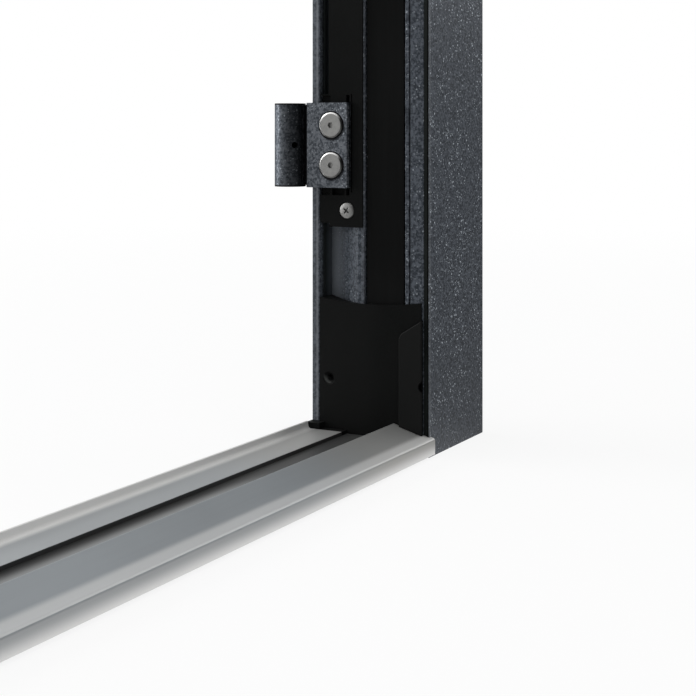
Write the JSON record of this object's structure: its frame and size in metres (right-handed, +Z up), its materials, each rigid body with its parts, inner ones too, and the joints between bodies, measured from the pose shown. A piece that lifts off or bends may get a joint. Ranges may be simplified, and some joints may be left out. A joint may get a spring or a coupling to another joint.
{
  "type": "front door frame with threshold",
  "caption": "Front door frame: mitred thermally broken jambs and head, low two-part threshold, corner blocks, hinge barrels and strike plates.",
  "frame": {"origin": "on the underside of the threshold, midway between the jambs and halfway through the frame's depth", "axes": "+Z up, +Y from outside to inside, +X to the hinge side"},
  "size_m": [1.1, 0.1065, 2.1],
  "materials": {
    "anthracite_coating": "matt powder coating with fine light sparkle",
    "black_plastic": "smooth matt",
    "seal_rubber": "smooth",
    "sill_aluminium": "satin anodised",
    "screw_steel": "satin",
    "strike_steel": "satin"
  },
  "bodies": {
    "root": {"head_edge_seal": "seal_rubber", "head_inner_profile": "anthracite_coating", "head_outer_profile": "anthracite_coating", "head_rear_seal": "seal_rubber", "head_thermal_break": "black_plastic", "hinge_corner_block": "black_plastic", "hinge_cover_lower": "black_plastic", "hinge_cover_upper": "black_plastic", "hinge_jamb_edge_seal": "seal_rubber", "hinge_jamb_inner_profile": "anthracite_coating", "hinge_jamb_outer_profile": "anthracite_coating", "hinge_jamb_rear_seal": "seal_rubber", "hinge_jamb_thermal_break": "black_plastic", "hinge_lower_carrier": "black_plastic", "hinge_lower_disc_screws": "screw_steel", "hinge_lower_plate": "anthracite_coating", "hinge_middle_carrier": "black_plastic", "hinge_middle_disc_screws": "screw_steel", "hinge_middle_plate": "anthracite_coating", "hinge_upper_carrier": "black_plastic", "hinge_upper_disc_screws": "screw_steel", "hinge_upper_plate": "anthracite_coating", "lock_corner_block": "black_plastic", "lock_jamb_edge_seal": "seal_rubber", "lock_jamb_inner_profile": "anthracite_coating", "lock_jamb_outer_profile": "anthracite_coating", "lock_jamb_rear_seal": "seal_rubber", "lock_jamb_thermal_break": "black_plastic", "strike_plate_lower": "strike_steel", "strike_plate_main": "strike_steel", "strike_plate_upper": "strike_steel", "threshold_bridge": "black_plastic", "threshold_front_profile": "sill_aluminium", "threshold_rear_profile": "sill_aluminium"}
  },
  "joints": []
}
